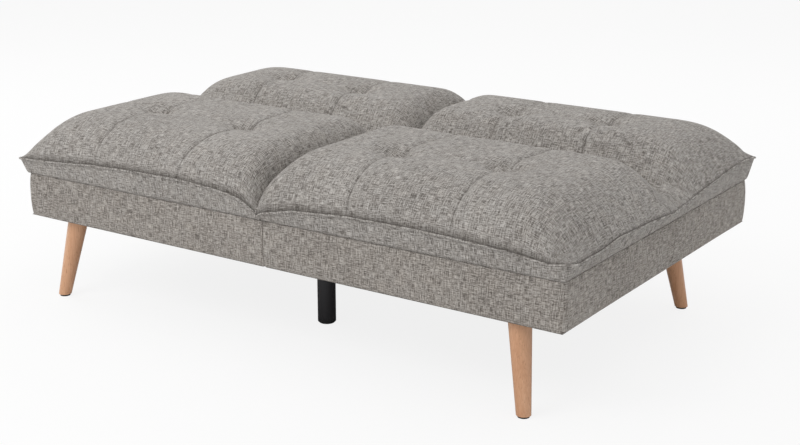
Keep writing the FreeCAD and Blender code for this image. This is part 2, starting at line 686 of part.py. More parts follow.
def spring_row(side, front, rear):
    """The springs of one half and the clips that hold their ends."""
    level, radius = value("spring_level"), value("spring_wire")
    inner, outer = value(FOAM_IN), value(FOAM_OUT)
    springs, clips = [], []
    length, depth, height = value("clip_length"), value("clip_depth"), value("clip_height")
    for number in range(SPRINGS_IN_HALF):
        middle = side * (inner + (outer - inner) * (number + 0.5) / SPRINGS_IN_HALF)
        near, far = front + depth / 2, rear - depth / 2
        springs.append(sinuous_wire(middle, near, far, level, radius))
        for y in (near, far):
            corner = FreeCAD.Vector(middle - length / 2, y - depth / 2, level - height / 2)
            block = Part.makeBox(length, depth, height, corner)
            reach = 2 * HALF_WAVE
            groove = Part.makeCylinder(radius + value("pin_play"), reach,
                                       FreeCAD.Vector(middle - reach / 2, y, level), FreeCAD.Vector(1, 0, 0))
            inward = 1 if y == near else -1
            mouth = Part.makeBox(reach, depth, 2 * radius + 2 * value("pin_play"),
                                 FreeCAD.Vector(middle - reach / 2, min(y, y + inward * depth),
                                                level - radius - value("pin_play")))
            clips.append(block.cut(groove.fuse(mouth)))
    return springs, clips


rows = {"seat": [], "back_left": [], "back_right": []}
for side in (-1, 1):
    clip_low, clip_high = "( spring_level - clip_height / 2 )", "( spring_level + clip_height / 2 )"
    seat_rear = value(seam(clip_low, REAR_BOARD_SHIFT + " - board"))
    back_front = value(seam(clip_high, FRAME_SHIFT + " + board"))
    rows["seat"].append((side, value(FRONT_BOARD_BACK), seat_rear))
    rows["back_" + SIDE_NAMES[side]].append((side, back_front, value(REAR_BOARD_FACE)))
for owner, halves in rows.items():
    springs, clips = [], []
    for side, front, rear in halves:
        wires, blocks = spring_row(side, front, rear)
        springs += wires
        clips += blocks
    keep(owner + "_springs", feature(owner + "_springs", Part.makeCompound(springs)))
    keep(owner + "_spring_clips", feature(owner + "_spring_clips", Part.makeCompound(clips)))

# Cushions: crowned pillows that are lofted along the sofa. Each is stitched through on two lines
# across it and one along it, which meet in two tufts, and its edge is drawn in under a piped lip.
PIPE_MIDDLE = 21
PIPE_OUTER_DROP = {"seat": 20, "back": 8}
PIPE_INNER_DROP = {"seat": 32, "back": 20}
EDGE_ROUND = {"inner": 110, "outer": 150}
EDGE_SHOULDER = 100
VALLEY_RUN = 90
VALLEY_SHOULDER = 150
VALLEY_SLOPE = 1.11
LIP = 9


def piping_level(kind, along):
    """Height of the piped lip over the hinge axis; along is 0 at the middle and 1 at the outer end."""
    share = 2 * along - 1
    if share > 0:
        return PIPE_MIDDLE - PIPE_OUTER_DROP[kind] * share ** 2
    return PIPE_MIDDLE - PIPE_INNER_DROP[kind] * abs(share) ** 3


def roundness(distance, reach):
    """How much of the crown's height is reached at a distance in from a rounded edge."""
    if distance >= reach:
        return 1
    return math.sqrt(1 - (1 - distance / reach) ** 2)


def cushion_section(kind, x, reach, inner, outer, stitched):
    """The closed outline of a cushion across the sofa, at a distance from the middle."""
    toward = -1 if kind == "seat" else 1
    axis_y, axis_z = value(AXIS_Y), value(AXIS_Z)
    depth = toward * (value(FRONT if kind == "seat" else REAR) - axis_y)
    overhang = value("piping_overhang")
    edge = axis_z + piping_level(kind, (reach - inner) / (outer - inner))
    share = roundness(reach - inner + 4, EDGE_ROUND["inner"])
    share *= roundness(outer - reach + 1, EDGE_ROUND["outer"])
    past_tuck = max(0, reach - (outer - overhang)) / overhang
    low = value(TUCK) + value("play")
    low += past_tuck * (axis_z - PIPE_OUTER_DROP[kind] - LIP - low)
    crown = value("crown_rise") - (value("stitch_dip") if stitched else 0)
    crease = crown - (value("tuft_dip") if stitched else value("stitch_dip"))
    crease_at = toward * (value(kind + "_crease") - axis_y)
    seam_side = value("seam_gap") / 2

    def spot(distance, height):
        return FreeCAD.Vector(x, axis_y + toward * distance, height)

    def top(distance, height):
        return spot(distance, axis_z + height * share)

    def edge_top(distance, height):
        return spot(distance, edge + (axis_z + height - edge) * share)

    valley = spot(seam_side, axis_z)
    slope_end = top(VALLEY_RUN, VALLEY_RUN * VALLEY_SLOPE)
    shoulder = top(VALLEY_SHOULDER, crown - 4)
    tuft = top(crease_at, crease)
    front_shoulder = edge_top(depth + overhang - EDGE_SHOULDER, crown - 16)
    lip = spot(depth + overhang, edge)
    tuck = spot(depth + overhang * past_tuck * 0.8, low)
    slope = value("seam_slope") * (axis_z - low)
    foot = spot(seam_side - toward * slope, low)
    turn = (slope_end + shoulder) * 0.5 + FreeCAD.Vector(0, 0, 9 * share)
    near_crown = (shoulder + tuft) * 0.5 + FreeCAD.Vector(0, 0, 12 * share)
    far_crown = (tuft + front_shoulder) * 0.5 + FreeCAD.Vector(0, 0, 18 * share)
    roll = (front_shoulder + lip) * 0.5 + FreeCAD.Vector(0, toward * 14 * share, 18 * share)
    return Part.Wire([
        Part.LineSegment(foot, valley).toShape(),
        Part.LineSegment(valley, slope_end).toShape(),
        Part.Arc(slope_end, turn, shoulder).toShape(),
        Part.Arc(shoulder, near_crown, tuft).toShape(),
        Part.Arc(tuft, far_crown, front_shoulder).toShape(),
        Part.Arc(front_shoulder, roll, lip).toShape(),
        Part.LineSegment(lip, tuck).toShape(),
        Part.LineSegment(tuck, foot).toShape(),
    ])


def cushion(kind, side):
    inner = value("seam_gap") / 2
    outer = value(HALF) + value("piping_overhang")
    spacing = value("stitch_spacing")
    corner = outer - value("piping_overhang")
    stations = [inner, inner + 12, inner + 45, spacing * 0.4, spacing * 0.7, spacing]
    stations += [spacing * 1.25, spacing * 1.5, spacing * 1.75, spacing * 2, spacing * 2 + 80]
    stations += [corner - 100, corner - 50, corner - 18, corner, outer]
    wires = []
    for reach in stations:
        stitched = reach in (spacing, spacing * 2)
        wires.append(cushion_section(kind, side * reach, reach, inner, outer, stitched))
    return Part.makeLoft(wires, True, False)


def hinge_pockets(name, kind, side):
    """Hollows in a cushion that clear the hinge plates, ratchets and pawls."""
    toward = -1 if kind == "seat" else 1
    tools = []
    for bay in BAYS:
        start, length = span(side, *stack(bay, "( 0 - 5 )", "( 2 * plate + bolt_head_height + 2 )"))
        spot = "%s_%s" % (name, bay)
        for label, near, far, rise in (("near", -7, 36, 14), ("far", 35, 102, 3)):
            y = "( %s + %s )" % (AXIS_Y, near if toward > 0 else -far)
            low = "( %s - 6 )" % TUCK
            tools.append(box("%s_%s" % (spot, label), start, y, low, length, str(far - near),
                             "( %s + %s - ( %s ) )" % (AXIS_Z, rise, low)))
        tools.append(rod(spot + "_round", "X", start, AXIS_Y, AXIS_Z, "( hinge_head + 1 )", length))
        if kind == "seat":
            tools.append(pie(spot + "_sweep", RATCHET_START - 2, 180, "( ratchet_radius + 1.5 )",
                             start, length))
    return tools


for kind, names in (("seat", "seat_cushion_%s"), ("back", "back_%s_cushion")):
    for side in (-1, 1):
        name = names % SIDE_NAMES[side]
        form = feature(name + "_form", cushion(kind, side))
        keep(name, cut(name, form, hinge_pockets(name, kind, side)))

doc.recompute()
for piece in doc.Objects:
    if "Invalid" in piece.State or "Error" in piece.State:
        raise RuntimeError("%s failed: %s" % (piece.Name, piece.State))
for name, piece in kept.items():
    if piece.Shape.isNull() or not piece.Shape.isValid():
        raise RuntimeError(name + " has no valid shape")
os.makedirs("parts", exist_ok=True)
for name, piece in kept.items():
    piece.Shape.exportStep("parts/%s.step" % name)
print(len(kept), "pieces written")
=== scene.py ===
import json
from math import exp, log, pi, radians, sin, sqrt

import bmesh
import bpy
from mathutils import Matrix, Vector, noise


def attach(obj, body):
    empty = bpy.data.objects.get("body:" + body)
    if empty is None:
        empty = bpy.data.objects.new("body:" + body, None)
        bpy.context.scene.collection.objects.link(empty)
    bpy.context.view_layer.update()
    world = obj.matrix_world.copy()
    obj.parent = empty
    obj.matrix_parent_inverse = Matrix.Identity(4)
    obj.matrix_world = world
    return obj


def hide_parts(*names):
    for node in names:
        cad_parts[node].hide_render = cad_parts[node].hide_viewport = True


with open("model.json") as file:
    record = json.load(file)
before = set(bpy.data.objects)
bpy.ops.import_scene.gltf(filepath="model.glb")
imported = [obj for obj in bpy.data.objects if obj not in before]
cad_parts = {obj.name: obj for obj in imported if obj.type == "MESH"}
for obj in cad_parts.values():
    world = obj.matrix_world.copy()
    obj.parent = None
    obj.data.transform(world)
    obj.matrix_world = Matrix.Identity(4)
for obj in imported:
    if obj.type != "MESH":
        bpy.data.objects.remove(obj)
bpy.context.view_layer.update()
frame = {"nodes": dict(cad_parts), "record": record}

scene = bpy.context.scene


# shader maths written as plain expressions
class Flow:
    def __init__(self, shader, socket):
        self.shader, self.socket = shader, socket

    def math(self, operation, first, second):
        return self.shader.add("ShaderNodeMath", {"operation": operation}, {0: first, 1: second})

    def __add__(self, other):
        return self.math("ADD", self, other)

    def __radd__(self, other):
        return self.math("ADD", other, self)

    def __sub__(self, other):
        return self.math("SUBTRACT", self, other)

    def __rsub__(self, other):
        return self.math("SUBTRACT", other, self)

    def __mul__(self, other):
        return self.math("MULTIPLY", self, other)

    def __rmul__(self, other):
        return self.math("MULTIPLY", other, self)


class Shader:
    def __init__(self, name):
        self.material = bpy.data.materials.new(name)
        self.material.use_nodes = True
        self.tree = self.material.node_tree
        self.surface = self.tree.nodes["Principled BSDF"]

    def add(self, kind, settings=None, values=None, output=0):
        node = self.tree.nodes.new(kind)
        for key, setting in (settings or {}).items():
            if key == "stops":
                ramp = node.color_ramp
                while len(ramp.elements) < len(setting):
                    ramp.elements.new(0.5)
                for element, (place, colour) in zip(ramp.elements, setting):
                    element.position = place
                    element.color = (*colour, 1) if len(colour) == 3 else colour
            else:
                setattr(node, key, setting)
        for key, value in (values or {}).items():
            self.feed(node.inputs[key], value)
        return Flow(self, node.outputs[output])

    def feed(self, socket, value):
        if isinstance(value, Flow):
            self.tree.links.new(value.socket, socket)
        else:
            socket.default_value = value

    def set(self, **values):
        for key, value in values.items():
            self.feed(self.surface.inputs[key.replace("_", " ")], value)

    def bump(self, height, strength, distance):
        normal = self.add("ShaderNodeBump", None,
                          {"Height": height, "Strength": strength, "Distance": distance})
        self.set(Normal=normal)


# a colour as read off a screen, 0 to 255, turned into the renderer's linear values
def tone(red, green, blue):
    return tuple(((c / 255 + 0.055) / 1.055) ** 2.4 for c in (red, green, blue))


# fabric: a heathered linen look weave. It reads the cloth map, whose units are metres.
fabricLook = {
    "dark": (104, 99, 94), "middle": (161, 156, 151), "light": (206, 202, 197),
    # crease is the colour of painted shade, and creaseShade is how far the cloth is painted toward it in seams,
    # dimples, the lip and the tuck
    "threadsAcross": 560, "threadsAlong": 44, "yarn": 1150, "crease": (66, 60, 54), "creaseShade": 0.72,
    "coarse": 0.8, "slub": 0.9, "cloud": 0.22, "weaveRelief": 0.8, "ribRelief": 0.35,
}


def linen(name, tint=(1, 1, 1), seed=0.0, sewn=True):
    look = fabricLook
    shader = Shader(name)
    cloth = shader.add("ShaderNodeUVMap", {"uv_map": "cloth"})

    def slubs(scaleU, scaleV, offset, detail):
        moved = {"Vector": cloth, "Location": (offset + seed, offset, 0), "Scale": (scaleU, scaleV, 1)}
        place = shader.add("ShaderNodeMapping", None, moved)
        return shader.add("ShaderNodeTexNoise", {"noise_dimensions": "2D"},
                          {"Vector": place, "Scale": 1.0, "Detail": detail, "Roughness": 0.6})

    long, fine = look["threadsAlong"], look["threadsAcross"]
    warp = slubs(fine, long, 3.0, 0.0)
    weft = slubs(long, fine, 17.0, 0.0)
    warpFine = slubs(fine * 1.9, long * 3, 41.0, 1.0)
    weftFine = slubs(long * 3, fine * 1.9, 67.0, 1.0)
    cloud = slubs(5, 5, 90.0, 3.0)
    coarse, slub, ribs = look["coarse"], look["slub"], look["ribRelief"]
    mixed = (warp - 0.5) * coarse + (weft - 0.5) * coarse + (warpFine - 0.5) * slub + (weftFine - 0.5) * slub
    shade = mixed + (cloud - 0.5) * look["cloud"] + 0.5
    dark, middle, light = [tuple(c * t for c, t in zip(tone(*look[key]), tint))
                           for key in ("dark", "middle", "light")]
    stops = [(0.12, dark), (0.5, middle), (0.9, light)]
    colour = shader.add("ShaderNodeValToRGB", {"stops": stops}, {"Fac": shade})
    warmth = slubs(24, 24, 120.0, 2.0)
    hue = shader.add("ShaderNodeMix", {"data_type": "RGBA", "blend_type": "MULTIPLY"},
                     {0: (warmth - 0.35) * 0.9, 6: colour, 7: (1.0, 0.965, 0.93, 1)}, output=2)
    # painted shade: on sewn pieces the colour is mixed toward the dark crease colour where the crease attribute
    # marks seams, dimples, the lip and the tuck
    if sewn:
        crease = shader.add("ShaderNodeAttribute", {"attribute_name": "crease"}, output=2)
        hue = shader.add("ShaderNodeMix", {"data_type": "RGBA"},
                         {0: crease * look["creaseShade"], 6: hue, 7: (*tone(*look["crease"]), 1)}, output=2)
    shader.set(Base_Color=hue, Roughness=0.93, Sheen_Weight=0.12, Sheen_Roughness=0.5)
    shader.surface.inputs["Specular IOR Level"].default_value = 0.18

    def rib(direction):
        return shader.add("ShaderNodeTexWave", {"wave_type": "BANDS", "bands_direction": direction,
                                                "wave_profile": "SIN"},
                          {"Vector": cloth, "Scale": look["yarn"] / 6.2832, "Distortion": 0.6})

    shader.bump(mixed * look["weaveRelief"] + rib("X") * ribs + rib("Y") * ribs, 0.55, 0.0012)
    return shader.material


# beech: pale and pinkish, with long grain along Z and the short fine flecks that beech has
beechLook = {"pale": (226, 176, 138), "deep": (196, 140, 101), "fleck": (150, 96, 62)}


def beech(name, seed):
    look = beechLook
    shader = Shader(name)
    place = shader.add("ShaderNodeTexCoord", output=3)

    def grain(scale, detail, offset):
        moved = shader.add("ShaderNodeMapping", None,
                           {"Vector": place, "Location": (offset, seed, 0), "Scale": scale})
        return shader.add("ShaderNodeTexNoise", None,
                          {"Vector": moved, "Scale": 1.0, "Detail": detail, "Roughness": 0.55})

    bands = grain((38, 38, 2.2), 3.0, 2.0)
    fine = grain((420, 420, 9), 2.0, 11.0)
    flecks = grain((520, 520, 60), 1.0, 31.0)
    stops = [(0.3, tone(*look["deep"])), (0.68, tone(*look["pale"]))]
    colour = shader.add("ShaderNodeValToRGB", {"stops": stops}, {"Fac": bands * 0.6 + fine * 0.45})
    fleckMask = shader.add("ShaderNodeMapRange", {"clamp": True},
                           {0: flecks, 1: 0.64, 2: 0.74, 3: 0.0, 4: 0.55})
    wood = shader.add("ShaderNodeMix", {"data_type": "RGBA"},
                      {0: fleckMask, 6: colour, 7: (*tone(*look["fleck"]), 1)}, output=2)
    shader.set(Base_Color=wood, Roughness=fine * 0.12 + 0.34, Coat_Weight=0.25, Coat_Roughness=0.3)
    shader.bump(fine * 0.5 - fleckMask * 0.5, 0.12, 0.0006)
    return shader.material


# plain pieces: one function for paint, plastic, plated steel, cloth and boards
def speckled(name, colour, roughness, metallic=0.0, spread=0.12, scale=900.0, bump=0.05):
    shader = Shader(name)
    place = shader.add("ShaderNodeTexCoord", output=3)
    grit = shader.add("ShaderNodeTexNoise", None, {"Vector": place, "Scale": scale, "Detail": 2.0})
    worn = shader.add("ShaderNodeTexNoise", None, {"Vector": place, "Scale": 14.0, "Detail": 3.0})
    base = tone(*colour)
    stops = [(0.3, tuple(c * (1 - spread) for c in base)), (0.7, tuple(min(1, c * (1 + spread)) for c in base))]
    tint = shader.add("ShaderNodeValToRGB", {"stops": stops}, {"Fac": grit * 0.5 + worn * 0.5})
    shader.set(Base_Color=tint, Metallic=metallic, Roughness=worn * 0.2 + (roughness - 0.1))
    shader.bump(grit, bump, 0.0004)
    return shader.material


def boardWood(name):
    shader = Shader(name)
    place = shader.add("ShaderNodeTexCoord", output=3)
    stretched = shader.add("ShaderNodeMapping", None, {"Vector": place, "Scale": (3, 40, 60)})
    rings = shader.add("ShaderNodeTexNoise", None, {"Vector": stretched, "Scale": 1.0, "Detail": 4.0})
    stops = [(0.35, tone(190, 152, 108)), (0.65, tone(222, 194, 152))]
    colour = shader.add("ShaderNodeValToRGB", {"stops": stops}, {"Fac": rings})
    shader.set(Base_Color=colour, Roughness=0.7)
    shader.bump(rings, 0.1, 0.0008)
    return shader.material


fabric = linen("heathered linen")
# the box's cloth is a darker, warmer copy of the same linen: painted shade for its upright walls
shadedWallFabric = linen("heathered linen on the box", tint=(0.93, 0.91, 0.89), seed=5.0, sewn=False)
slotLooks = {
    "black_tube": speckled("satin black paint", (30, 27, 31), 0.42, bump=0.02),
    "black_plastic": speckled("matt black plastic", (24, 24, 25), 0.55),
    "black_steel": speckled("black powder coat", (33, 33, 35), 0.5, bump=0.12),
    "dust_cloth": speckled("black non-woven cloth", (38, 38, 40), 0.95, scale=420.0, bump=0.4, spread=0.3),
    "spring_wire": speckled("oiled spring wire", (120, 120, 124), 0.35, metallic=0.9),
    "zinc_steel": speckled("bright zinc plate", (186, 188, 192), 0.32, metallic=1.0, scale=300.0),
    "foam": speckled("cushion foam", (226, 218, 186), 0.95, scale=1300.0, bump=0.5),
    "softwood_board": boardWood("planed softwood"),
}
for number, end in enumerate(("front_left", "front_right", "rear_left", "rear_right")):
    leg = frame["nodes"][end + "_leg"]
    leg.data.materials.clear()
    leg.data.materials.append(beech("beech of the %s leg" % end.replace("_", " "), number * 3.7))
for entry in frame["record"]["subparts"]:
    look = slotLooks.get(entry["material_slot"])
    if look:
        node = frame["nodes"][entry["node"]]
        node.data.materials.clear()
        node.data.materials.append(look)
print("materials made")


# view: the camera stands to the right of the sofa and a little above it
cameraPlace = {
    "location": (2.1881, -3.1511, 1.3547), "forward": (-0.5377, 0.7928, -0.2869),
    "lens": 65.83, "sensor": 36.0,
}
cameraData = bpy.data.cameras.new("camera")
cameraData.lens = cameraPlace["lens"]
cameraData.sensor_width = cameraPlace["sensor"]
camera = bpy.data.objects.new("camera", cameraData)
camera.location = cameraPlace["location"]
camera.rotation_euler = Vector(cameraPlace["forward"]).to_track_quat("-Z", "Y").to_euler()
scene.collection.objects.link(camera)
scene.camera = camera

# studio: a white floor that keeps a soft shadow, white all round, and large soft lamps
studio = {
    "floorSize": 60.0, "floorColour": 0.93, "floorGlow": 0.85, "skyLight": 0.62, "skySeen": 1.0,
    "lamps": [
        ("key", (-1.2, -3.4, 3.6), (2.6, 2.0), 62),
        ("left", (-3.8, 0.2, 2.8), (2.4, 2.4), 38),
        ("back", (0.5, 3.2, 3.0), (3.0, 1.6), 26),
    ],
}
floorMesh = bpy.data.meshes.new("floor")
shape = bmesh.new()
bmesh.ops.create_grid(shape, x_segments=1, y_segments=1, size=studio["floorSize"])
shape.to_mesh(floorMesh)
shape.free()
floor = bpy.data.objects.new("floor", floorMesh)
scene.collection.objects.link(floor)
paper = Shader("white paper")
rays = paper.add("ShaderNodeLightPath")
paper.set(Base_Color=(studio["floorColour"],) * 3 + (1,), Roughness=0.9)
paper.surface.inputs["Specular IOR Level"].default_value = 0.0
glow = paper.add("ShaderNodeEmission", None, {"Color": (1, 1, 1, 1), "Strength": 1.0})
seenFloor = paper.add("ShaderNodeMixShader", None, {0: rays * studio["floorGlow"], 2: glow})
paper.tree.links.new(paper.surface.outputs[0], seenFloor.socket.node.inputs[1])
paper.tree.links.new(seenFloor.socket, paper.tree.nodes["Material Output"].inputs["Surface"])
floorMesh.materials.append(paper.material)

world = bpy.data.worlds.new("world")
world.use_nodes = True
scene.world = world
tree = world.node_tree
background = tree.nodes["Background"]
background.inputs["Color"].default_value = (1, 1, 1, 1)
seen = tree.nodes.new("ShaderNodeLightPath")
level = tree.nodes.new("ShaderNodeMapRange")
tree.links.new(seen.outputs["Is Camera Ray"], level.inputs["Value"])
level.inputs["To Min"].default_value = studio["skyLight"]
level.inputs["To Max"].default_value = studio["skySeen"]
tree.links.new(level.outputs["Result"], background.inputs["Strength"])
for name, place, size, power in studio["lamps"]:
    lampData = bpy.data.lights.new(name, "AREA")
    lampData.shape = "RECTANGLE"
    lampData.size, lampData.size_y = size
    lampData.energy = power
    lamp = bpy.data.objects.new(name, lampData)
    lamp.location = place
    aim = Vector((0, 0, 0.35)) - Vector(place)
    lamp.rotation_euler = aim.to_track_quat("-Z", "Y").to_euler()
    scene.collection.objects.link(lamp)
scene.view_settings.view_transform = "Standard"
print("studio made")


# helpers for the sewn pieces, whose meshes are in metres
def sewnPiece(name, shape, material, body, node):
    mesh = bpy.data.meshes.new(name)
    shape.to_mesh(mesh)
    shape.free()
    mesh.materials.append(material)
    mesh.shade_smooth()
    piece = bpy.data.objects.new(name, mesh)
    scene.collection.objects.link(piece)
    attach(piece, body)
    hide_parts(node)
    return piece


def applied(piece):
    bpy.context.view_layer.update()
    graph = bpy.context.evaluated_depsgraph_get()
    finished = piece.evaluated_get(graph)
    return bpy.data.meshes.new_from_object(finished, preserve_all_data_layers=True, depsgraph=graph)


# a height read from a table of places and heights, eased a little between them
def between(table, place):
    for (a, low), (b, high) in zip(table, table[1:]):
        if place <= b:
            t = min(1, max(0, (place - a) / (b - a)))
            t = t * t * (3 - 2 * t) * 0.4 + t * 0.6
            return low + (high - low) * t
    return table[-1][1]


def hump(distance, width):
    return exp(-(distance / width) ** 2)


# places from 0 to total, close together beside each sewn line
def spaced(total, step, lines, tight):
    marks = [0.0] + [p for p in lines if 0 < p < total] + [total]
    places = [0.0]
    for start, stop in zip(marks, marks[1:]):
        inside = [start + tight, stop - tight]
        count = max(1, round((inside[1] - inside[0]) / step))
        places += [inside[0] + (inside[1] - inside[0]) * n / count for n in range(count + 1)] + [stop]
    return places


# cushions: pillow tops with two sewn lines across, a soft crease along, and a dimple at each crossing.
# Lengths are in millimetres; powers, slopes, shares and counts have no unit.
cushion = {
    # outline, lip and crown
    "axisY": 62, "axisZ": 378, "lipX": 840, "lipY": 533, "crown": 124, "gap": 1.2, "corner": 5,
    "nearCorner": 42, "frontReach": 160, "endReach": 205, "endPower": 3.3, "innerReach": 92, "lipPower": 1.5,
    "endFade": 90, "backRise": 4, "valleyDrop": 3, "valleySlope": 1.16, "valleySoft": 15, "valleyReach": 3,
    # sewn lines, dimples, and the crease between the dimples
    "lineEnds": (268, 548), "lineReach": 300, "linePower": 1.3, "stitchDip": 1.0, "stitchWidth": 14,
    "stitchCut": 2.6, "stitchCutWidth": 5, "tuftDip": 27, "tuftWidth": 38, "tuftCut": 10, "tuftCutWidth": 9,
    "creaseDip": 6.0, "creaseWidth": 24, "creaseFade": 60, "fadeGain": 1.4,
    # fullness over the hinges, and where the two seat cushions meet
    "hinges": (797, 33), "hingeRise": 23, "hingeWidth": 30, "hingeDepth": 26, "bulge": {-1: -16, 1: 23},
    "bulgeWidth": 45, "bellyBase": 0.55, "bellySwing": 0.45, "bellyHeight": 105, "bellyDepth": 90,
    # grid, pins, and how far the simulation may move the cloth
    "step": 9, "tight": 3, "followWidth": 90, "followFade": 60, "pinLine": 4, "pinTuft": 14, "pinHold": 0.98,
    "frames": 20, "cap": 2.6, "roomInner": 50, "roomValley": 70, "roomLip": 20,
    # how much shade is painted into the cloth in its seams, dimples, lip and tuck, and where its threads are
    # measured
    "paintedLineShade": 0.8, "paintedLineShadeWidth": 1.5, "paintedTuftShade": 0.6, "paintedTuftShadeWidth": 9, "paintedLipShade": 0.9, "paintedTuckShade": 0.3,
    "threadRow": 0.62, "threadColumn": 0.45,
    # gusset and welt
    "tuck": 338.6, "tuckIn": 15, "seamSlope": 0.158, "seamReach": 6,
    "gusset": [(0.06, 0.10), (0.30, 0.34), (0.58, 0.66), (0.82, 0.90), (1.0, 1.0)],
    "welt": 2.7, "weltOut": 1.6, "weltDrop": 2.2, "weltSides": 8, "endZone": 30,
}
clothSettings = {
    "quality": 5, "mass": 0.3, "tension_stiffness": 12, "compression_stiffness": 12, "shear_stiffness": 5,
    "bending_stiffness": 0.6, "shrink_min": -0.02, "use_pressure": True, "uniform_pressure_force": 2.2,
    "vertex_group_mass": "pins",
}
frontLip = {
    -1: [(0, 362), (9, 366), (30, 376), (58, 388), (106, 398), (170, 404), (264, 408), (355, 407), (442, 405),
         (552, 401), (679, 391), (767, 385), (840, 382)],
    1: [(0, 352), (24, 367), (113, 386), (270, 397), (412, 399), (542, 397), (678, 391), (797, 380),
        (840, 382)],
}
endLip = {
    "seat": [(0, 373), (52, 370), (200, 380), (348, 385), (437, 377), (544, 376), (595, 382)],
    "back": [(0, 373), (82, 384), (169, 391), (273, 400), (386, 404), (453, 400), (471, 395)],
}
cushions = [
    {"name": "seat_left", "kind": "seat", "side": -1, "body": "seat", "node": "seat_cushion_left",
     "tufts": [(244, -286), (568, -261)]},
    {"name": "seat_right", "kind": "seat", "side": 1, "body": "seat", "node": "seat_cushion_right",
     "tufts": [(243, -294), (531, -271)]},
    {"name": "back_left", "kind": "back", "side": -1, "body": "back_left", "node": "back_left_cushion",
     "tufts": [(275, 268), (571, 301)]},
    {"name": "back_right", "kind": "back", "side": 1, "body": "back_right", "node": "back_right_cushion",
     "tufts": [(249, 263), (512, 294)]},
]


# one cushion as a function: from a distance across and a distance from the valley to a point of its top
class Top:
    def __init__(self, facts):
        self.kind, self.side = facts["kind"], facts["side"]
        self.toward = -1 if self.kind == "seat" else 1
        self.depth = cushion["lipY"] - self.toward * cushion["axisY"]
        self.tufts = [(x, self.toward * (y - cushion["axisY"])) for x, y in facts["tufts"]]
        self.corner = cushion["nearCorner" if self.kind == "seat" and self.side == 1 else "corner"]

    def stitch(self, number, d):
        # a sewn line runs from the lip through its dimple to the valley, nearly straight
        c = cushion
        x, along = self.tufts[number]
        return x + (c["lineEnds"][number] - x) * min(1, abs(d - along) / c["lineReach"]) ** c["linePower"]

    def edgeLevel(self, r, d):
        c, seat = cushion, self.kind == "seat"
        share = min(1, max(0, d / self.depth)) ** c["lipPower"]
        front = between(frontLip[self.side if seat else 1], r) + (0 if seat else c["backRise"])
        valley = c["axisZ"] - c["valleyDrop"]
        level = valley + (front - valley) * share
        corner = valley + (between(frontLip[self.side], c["lipX"]) - valley) * share
        end = between(endLip[self.kind], d) - corner
        return level + end * exp(-(c["lipX"] - r) / c["endFade"])

    def point(self, r, d):
        c = cushion
        level = self.edgeLevel(r, d)
        out = max(0, min(1, (c["lipX"] - r) / c["endReach"]))
        inner = max(0, min(1, (r + 2) / c["innerReach"]))
        front = max(0, min(1, (self.depth - d) / c["frontReach"]))
        share = (1 - (1 - out) ** c["endPower"]) * sqrt(1 - (1 - inner) ** 2) * sqrt(1 - (1 - front) ** 2)
        soft = c["valleySoft"]
        rise = -soft * log(exp(-c["valleySlope"] * d / soft) + exp(-c["crown"] / soft))
        height = (rise + c["axisZ"] - level) * share if rise > 0 else 0
        fade = min(1, share * c["fadeGain"])
        for number in range(2):
            x, along = self.tufts[number]
            off = abs(r - self.stitch(number, d))
            reach = sqrt((r - x) ** 2 + (d - along) ** 2)
            cut = c["stitchCut"] * exp(-off / c["stitchCutWidth"])
            height -= (c["stitchDip"] * hump(off, c["stitchWidth"]) + cut) * fade
            cut = c["tuftCut"] * exp(-reach / c["tuftCutWidth"])
            height -= (c["tuftDip"] * hump(reach, c["tuftWidth"]) + cut) * fade
        (xa, ya), (xb, yb) = self.tufts
        crease = ya + (yb - ya) * (r - xa) / (xb - xa)
        beyond = max(0, xa - r, r - xb)
        height -= c["creaseDip"] * hump(d - crease, c["creaseWidth"]) * hump(beyond, c["creaseFade"]) * fade
        # the cloth is fuller beside the valley where it covers a hinge
        over = sum(hump(r - place, c["hingeWidth"]) for place in c["hinges"])
        height += c["hingeRise"] * over * hump(d, c["hingeDepth"])
        x, y = r, d
        across, deep = c["lipX"] - self.corner, self.depth - self.corner
        if r > across and d > deep:
            u, w = r - across, d - deep
            pull = max(u, w) / sqrt(u * u + w * w)
            x, y = across + u * pull, deep + w * pull
        x, y = max(x, c["gap"] / 2), max(y, c["gap"] / 2)
        if self.kind == "seat":
            # the right seat cushion bulges over the left one where they meet
            belly = c["bellyBase"] + c["bellySwing"] * sin(pi * min(1, max(0, height) / c["bellyHeight"]))
            belly *= min(1, d / c["bellyDepth"])
            x -= c["bulge"][self.side] * exp(-(r / c["bulgeWidth"]) ** 2) * belly
        return Vector((self.side * x, c["axisY"] + self.toward * y, level + height)) / 1000


# how firmly a place of the top is held by its seams
def pinWeight(top, r, d):
    edge = min(r, d, cushion["lipX"] - r, top.depth - d)
    if edge < 1:
        return 1.0
    line = max(hump(r - top.stitch(n, d), cushion["pinLine"]) for n in range(2))
    tuft = max(hump(sqrt((r - x) ** 2 + (d - along) ** 2), cushion["pinTuft"]) for x, along in top.tufts)
    return min(1, max(line * cushion["pinHold"], tuft))


# the top as air pressure fills it between its seams: the new place of each vertex
def simulate(name, shape, weights):
    mesh = bpy.data.meshes.new(name)
    shape.to_mesh(mesh)
    work = bpy.data.objects.new(name, mesh)
    scene.collection.objects.link(work)
    pins = work.vertex_groups.new(name="pins")
    for index, weight in enumerate(weights):
        pins.add([index], weight, "REPLACE")
    cloth = work.modifiers.new("cloth", "CLOTH")
    for key, value in clothSettings.items():
        setattr(cloth.settings, key, value)
    cloth.settings.effector_weights.gravity = 0
    cloth.point_cache.frame_end = cushion["frames"]
    for number in range(1, cushion["frames"] + 1):
        scene.frame_set(number)
    result = applied(work)
    moved = [vertex.co.copy() for vertex in result.vertices]
    scene.frame_set(1)
    bpy.data.objects.remove(work)
    bpy.data.meshes.remove(mesh)
    bpy.data.meshes.remove(result)
    return moved


